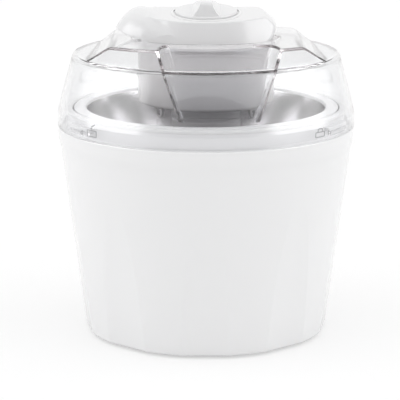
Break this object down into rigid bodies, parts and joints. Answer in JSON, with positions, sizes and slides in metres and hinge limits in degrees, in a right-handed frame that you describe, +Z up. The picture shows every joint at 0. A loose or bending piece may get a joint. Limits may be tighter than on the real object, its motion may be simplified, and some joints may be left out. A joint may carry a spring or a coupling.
{
  "type": "ice cream maker",
  "caption": "Worktop ice cream maker with a freezer bowl, a clear twist-lock lid with an ingredient chute, and a motor unit that turns the paddle.",
  "frame": {"origin": "centre of the rubber feet on the table", "axes": "+Z up, -Y to the front where the chute is, +X to the viewer's right"},
  "size_m": [0.23, 0.23, 0.2608],
  "materials": {
    "white_plastic": "gloss",
    "liner_plastic": "gloss",
    "base_plastic": "satin",
    "rubber": "matte",
    "steel": "satin",
    "bowl_plastic": "satin",
    "bowl_metal": "satin",
    "gel": "gloss",
    "rim_plastic": "gloss",
    "clear_plastic": "clear gloss",
    "housing_plastic": "gloss",
    "cover_plastic": "gloss",
    "dial_plastic": "gloss",
    "grey_plastic": "matte",
    "plate_steel": "brushed",
    "can_steel": "satin",
    "bronze": "satin",
    "seal_rubber": "matte",
    "gland_rubber": "matte",
    "knob_plastic": "gloss",
    "brass": "satin",
    "gear_plastic": "satin",
    "shaft_steel": "ground",
    "paddle_plastic": "gloss"
  },
  "bodies": {
    "base": {"outer_casing": "white_plastic", "casing_liner": "liner_plastic", "base_plate": "base_plastic", "rubber_feet": "rubber", "base_screws": "steel", "bowl_shell": "bowl_plastic", "bowl_liner": "bowl_metal", "cooling_gel": "gel", "bowl_rim_ring": "rim_plastic"},
    "lid_unit": {"lid": "clear_plastic", "motor_housing": "housing_plastic", "motor_cover": "cover_plastic", "dial_plate": "dial_plastic", "dial_screws": "steel", "switch_body": "grey_plastic", "gear_plate": "plate_steel", "gear_plate_screws": "steel", "gear_pins": "steel", "motor_can": "can_steel", "motor_end_cap": "grey_plastic", "motor_screws": "steel", "shaft_bush": "bronze", "shaft_seal": "seal_rubber", "cover_screws": "steel", "cord_gland": "gland_rubber", "release_catches": "housing_plastic"},
    "selector": {"knob": "knob_plastic", "knob_spindle": "grey_plastic"},
    "rotor": {"motor_shaft": "can_steel", "pinion": "brass"},
    "first_wheel": {"first_gear": "gear_plastic"},
    "second_wheel": {"second_gear": "gear_plastic"},
    "mixer": {"output_gear": "gear_plastic", "drive_shaft": "shaft_steel", "paddle": "paddle_plastic"}
  },
  "joints": [
    {"name": "lid_turn", "type": "hinge", "parent": "base", "child": "lid_unit", "pos_m": [0, 0, 0.163], "axis": [0, 0, 1], "range_deg": [0, 24]},
    {"name": "knob_turn", "type": "hinge", "parent": "lid_unit", "child": "selector", "pos_m": [0, -0.005, 0.24938], "axis": [0, -0.1028, 0.9947], "range_deg": [-55, 55]},
    {"name": "paddle_spin", "type": "hinge", "parent": "lid_unit", "child": "mixer", "pos_m": [0, 0, 0.18], "axis": [0, 0, 1], "continuous": true},
    {"name": "second_spin", "type": "hinge", "parent": "lid_unit", "child": "second_wheel", "pos_m": [-0.0151, -0.02614, 0.19], "axis": [0, 0, 1], "continuous": true},
    {"name": "first_spin", "type": "hinge", "parent": "lid_unit", "child": "first_wheel", "pos_m": [-0.02987, -0.00854, 0.196], "axis": [0, 0, 1], "continuous": true},
    {"name": "motor_spin", "type": "hinge", "parent": "lid_unit", "child": "rotor", "pos_m": [-0.02298, 0.01037, 0.21], "axis": [0, 0, 1], "continuous": true}
  ],
  "couplings": [
    {"joint": "second_spin", "follows": "paddle_spin", "ratio": -4},
    {"joint": "first_spin", "follows": "paddle_spin", "ratio": 15},
    {"joint": "motor_spin", "follows": "paddle_spin", "ratio": -56.25}
  ]
}
